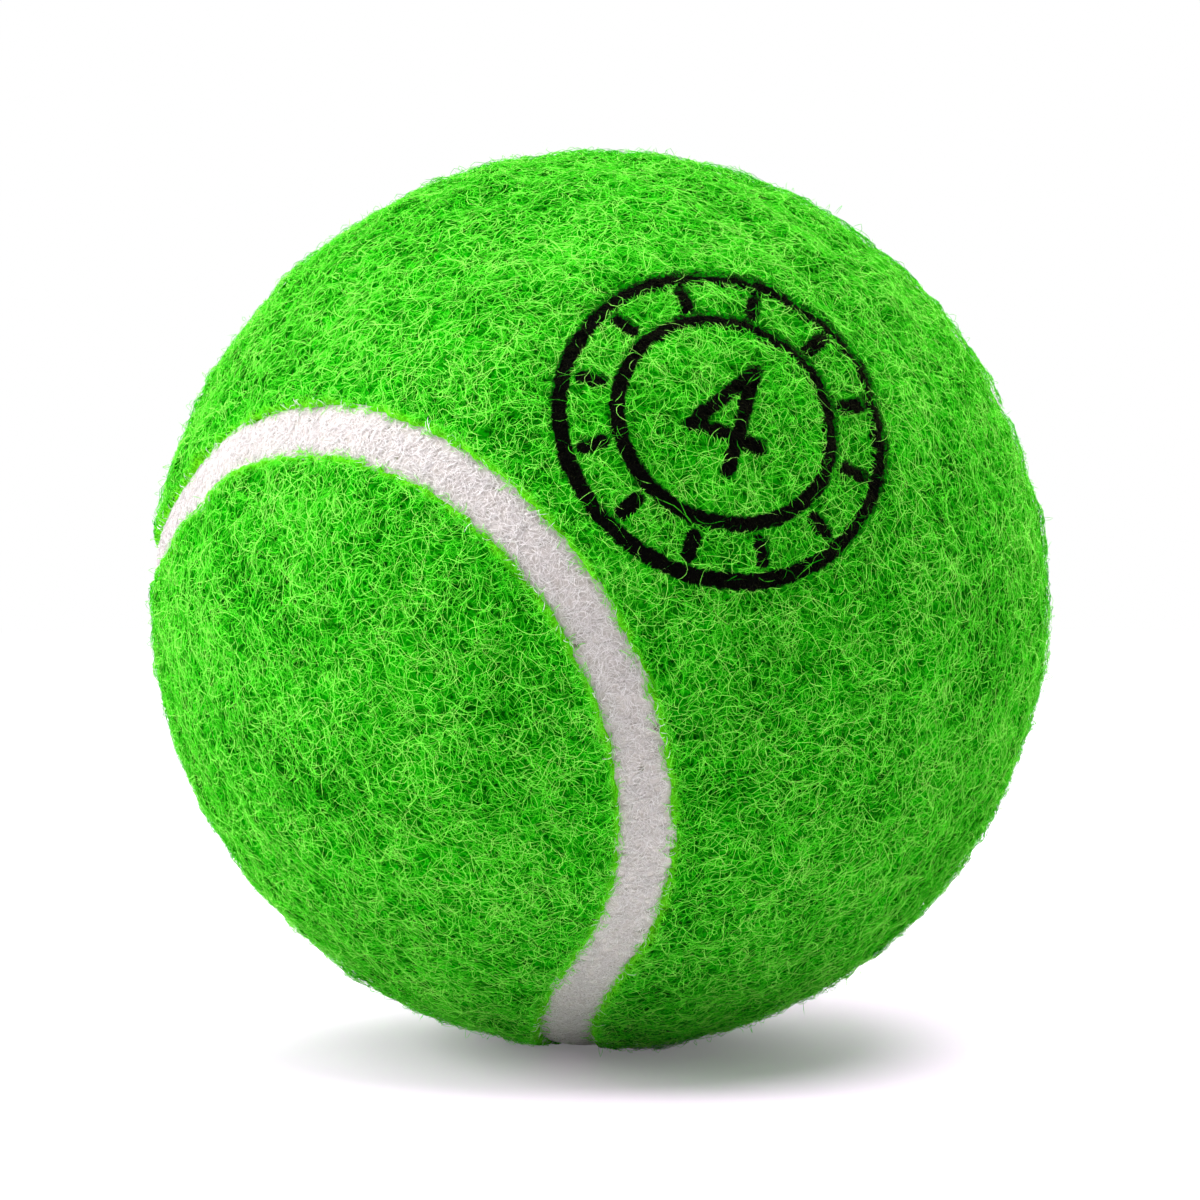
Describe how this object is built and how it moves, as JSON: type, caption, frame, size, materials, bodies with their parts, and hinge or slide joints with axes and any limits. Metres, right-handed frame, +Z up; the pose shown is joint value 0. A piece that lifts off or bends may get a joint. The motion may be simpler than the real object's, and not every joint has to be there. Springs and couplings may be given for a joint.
{
  "type": "tennis ball",
  "caption": "Felt-covered hollow rubber ball for racket sports, with two cloth panels joined by a recessed wavy seam; it rolls, bounces and is held in the hand.",
  "frame": {"origin": "centre of the ball", "axes": "+Z up as the ball lies, -Z through the point that it rests on, +Y away from the side that is seen first"},
  "size_m": [0.066, 0.0659, 0.0659],
  "materials": {
    "core_rubber": "matte moulded vulcanised rubber, buffed on its outside",
    "bond_rubber": "cured rubber solution, smooth amber brown",
    "rubber_solution": "thin dried rubber solution, slightly tacky sheen",
    "cloth_ground": "woven cotton ground soaked with rubber cement",
    "green_felt": "bright green wool and nylon felt with a raised curly nap",
    "seam_compound": "matt off-white seam compound with short fibres of cloth bedded in it"
  },
  "bodies": {
    "root": {"core_half_upper": "core_rubber", "core_half_lower": "core_rubber", "core_bond": "bond_rubber", "core_coat": "rubber_solution", "cloth_ground_a": "cloth_ground", "cloth_ground_b": "cloth_ground", "felt_panel_a": "green_felt", "felt_panel_b": "green_felt", "seam": "seam_compound"}
  },
  "joints": []
}
